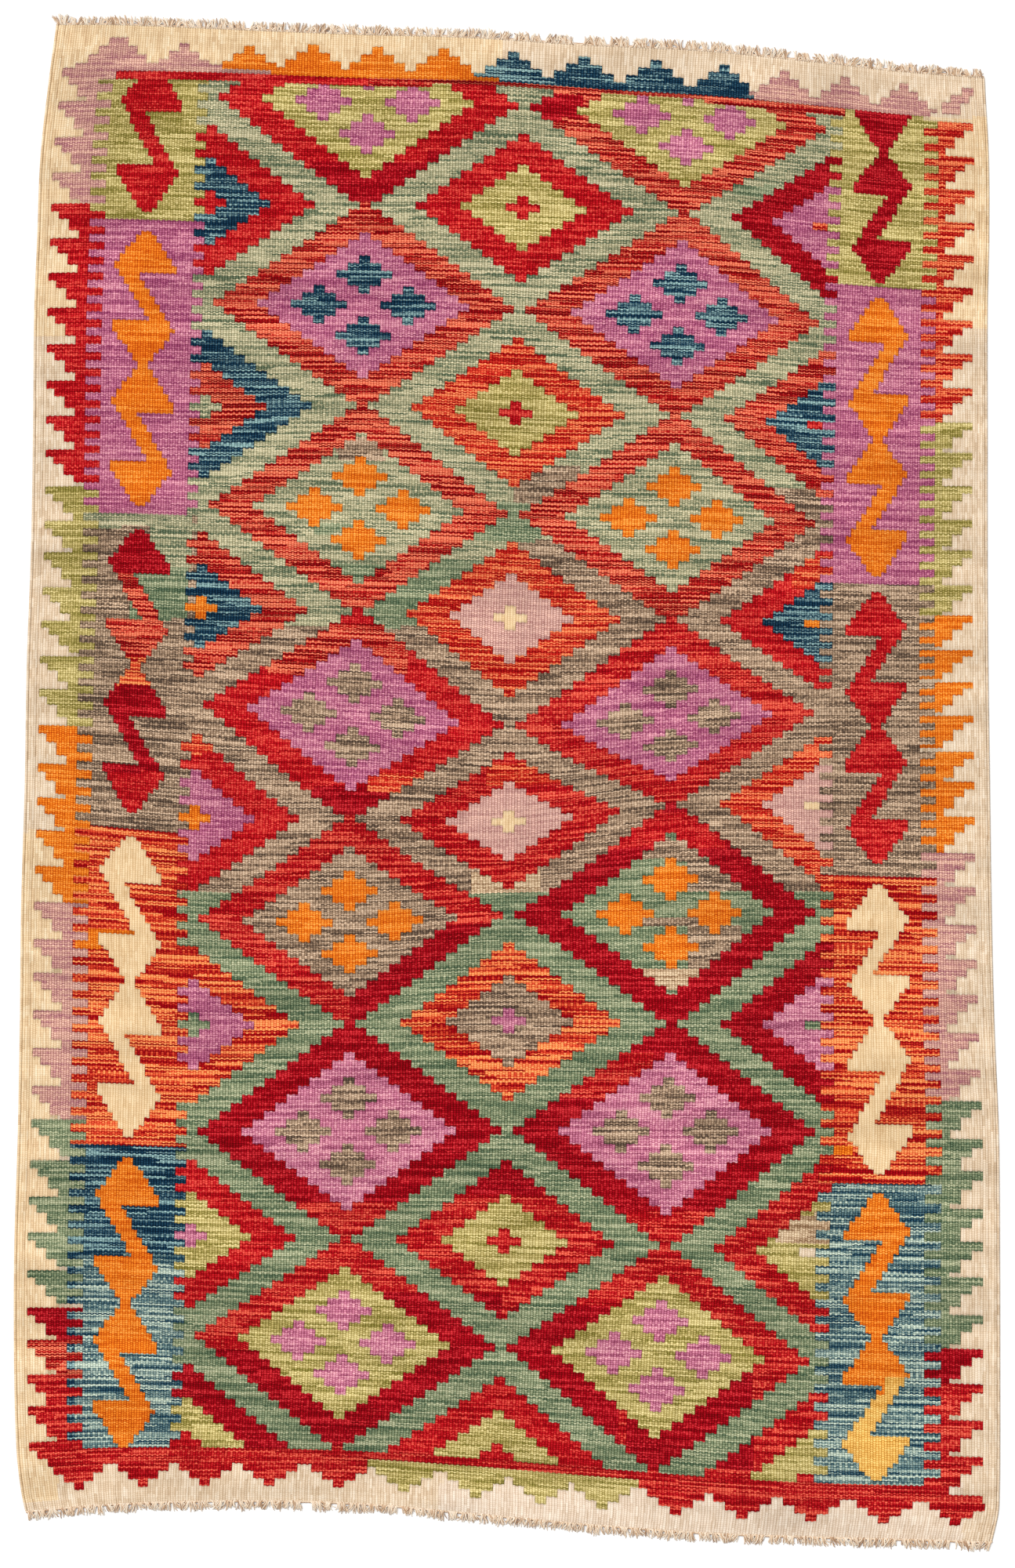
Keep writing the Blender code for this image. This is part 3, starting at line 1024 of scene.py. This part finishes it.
def fringe(name, node, end, start, stop, outward, seed):
    """Knots along one end of the cloth, with cut warp ends splayed out of each."""
    draw = random.Random(seed)
    mesh = bmesh.new()
    weave = mesh.loops.layers.uv.new("weave")
    number = 0
    count = round((stop - start) / FRINGE_PITCH)
    edge = [start + (stop - start) * i / (count * 4) for i in range(count * 4 + 1)]
    for offset, height in ((0.6, 1.6), (1.6, 1.3)):
        path = [
            (a, float(end(a)) - outward * (offset + draw.uniform(-0.2, 0.2)), height) for a in edge]
        radii = [0.85 + draw.uniform(-0.15, 0.15) for _ in path]
        strand_tube(mesh, weave, path, radii, number, sides=6)
        number += 1
    for i in range(count):
        middle = start + (stop - start) * (i + 0.5 + draw.uniform(-0.3, 0.3)) / count
        base = float(end(middle))
        slope = (float(end(middle + 5)) - float(end(middle - 5))) / 10
        lean = draw.uniform(-0.8, 0.8)
        knot = draw.uniform(1.6, 3.0)
        longest = (FRINGE_REACH - knot) * draw.uniform(0.7, 1.0)
        strands = draw.choice(STRANDS)
        if draw.random() < 0.02:
            continue

        def place(away, out, height):
            """A point beside the knot's middle, out of the cloth's edge."""
            return middle + away, base + away * slope - outward * out, height

        for k in range(strands):
            spread = (k + 0.5) / strands * 2 - 1
            angle, curl = lean + spread * 0.45 + draw.uniform(-0.35, 0.35), draw.uniform(-0.9, 0.9)
            reach = longest * draw.uniform(0.55, 1.0)
            away, out, lift = spread * 2.7 + lean, knot + 0.5, draw.uniform(0.8, 2.6)
            path = [place(spread * 5.4, -0.6, 1.9), place(away, knot - 0.4, 1.4 + lift * 0.5)]
            for share in (0.25, 0.5, 0.75, 1.0):
                swing = max(-1.35, min(1.35, angle + curl * (share - 0.4)))
                away, out = away + math.sin(swing) * reach / 4, out + math.cos(swing) * reach / 4
                path.append(place(away, out, 0.7 + lift * (1 - share) + draw.uniform(0, 0.4)))
            radii = [YARN_RADIUS * r for r in (0.9, 1.15, 1.1, 1.05, 1.0, 0.8)]
            strand_tube(mesh, weave, path, radii, number)
            number += 1
    mesh.normal_update()
    data = bpy.data.meshes.new(name)
    bmesh.ops.recalc_face_normals(mesh, faces=mesh.faces[:])
    mesh.to_mesh(data)
    mesh.free()
    data.materials.append(fringe_material)
    piece = bpy.data.objects.new(name, data)
    bpy.context.scene.collection.objects.link(piece)
    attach(piece, "root")
    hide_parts(node)


fringe_material = fringe_finish()
fringe(
    "top_knots", "top_fringe", top_edge, LINE_ACROSS[0, 0] + 1, LINE_ACROSS[0, -1] - 1, 1,
    seed=11)
fringe(
    "bottom_knots", "bottom_fringe", bottom_edge, LINE_ACROSS[-1, 0] + 1,
    LINE_ACROSS[-1, -1] - 1, -1, seed=12)

# ---------------------------------------------------------------------------------------------
# The studio
# ---------------------------------------------------------------------------------------------

FRAME_MIDDLE = (647.5, 1000.0)  # the laid point under the camera
FRAME_LENGTH = 2.0  # metres of floor along the picture's long side
LENS, SENSOR = 85.0, 36.0


def studio_floor():
    finish = Finish("studio_floor", Roughness=0.8, Specular_IOR_Level=0.1)
    finish.shader.inputs["Base Color"].default_value = (0.94, 0.94, 0.935, 1.0)
    bpy.ops.mesh.primitive_plane_add(size=60.0, location=(0, 0, -0.0002))
    floor = bpy.context.object
    floor.name = "floor"
    floor.data.materials.append(finish.material)


def studio_light(name, towards, softness, power):
    """A large, far lamp that lights the whole rug alike."""
    data = bpy.data.lights.new(name, "SUN")
    data.angle = math.radians(softness)
    data.energy = power
    lamp = bpy.data.objects.new(name, data)
    lamp.location = Vector(towards) * -3
    lamp.rotation_euler = Vector(towards).to_track_quat("-Z", "Y").to_euler()
    bpy.context.scene.collection.objects.link(lamp)


def studio_world(strength):
    world = bpy.data.worlds.new("studio")
    world.use_nodes = True
    background = world.node_tree.nodes["Background"]
    background.inputs["Color"].default_value = (1.0, 1.0, 1.0, 1.0)
    background.inputs["Strength"].default_value = strength
    bpy.context.scene.world = world


def studio_camera():
    x, y = to_world(*FRAME_MIDDLE)
    data = bpy.data.cameras.new("camera")
    data.lens = LENS
    data.sensor_width = SENSOR
    camera = bpy.data.objects.new("camera", data)
    camera.location = (x, y, CREST_HEIGHT + FRAME_LENGTH * LENS / SENSOR)
    bpy.context.scene.collection.objects.link(camera)
    bpy.context.scene.camera = camera


studio_floor()
studio_light("softbox", (0.5, -0.6, -1.0), 30, 2.0)
studio_world(0.70)
studio_camera()
bpy.context.scene.view_settings.view_transform = "Standard"
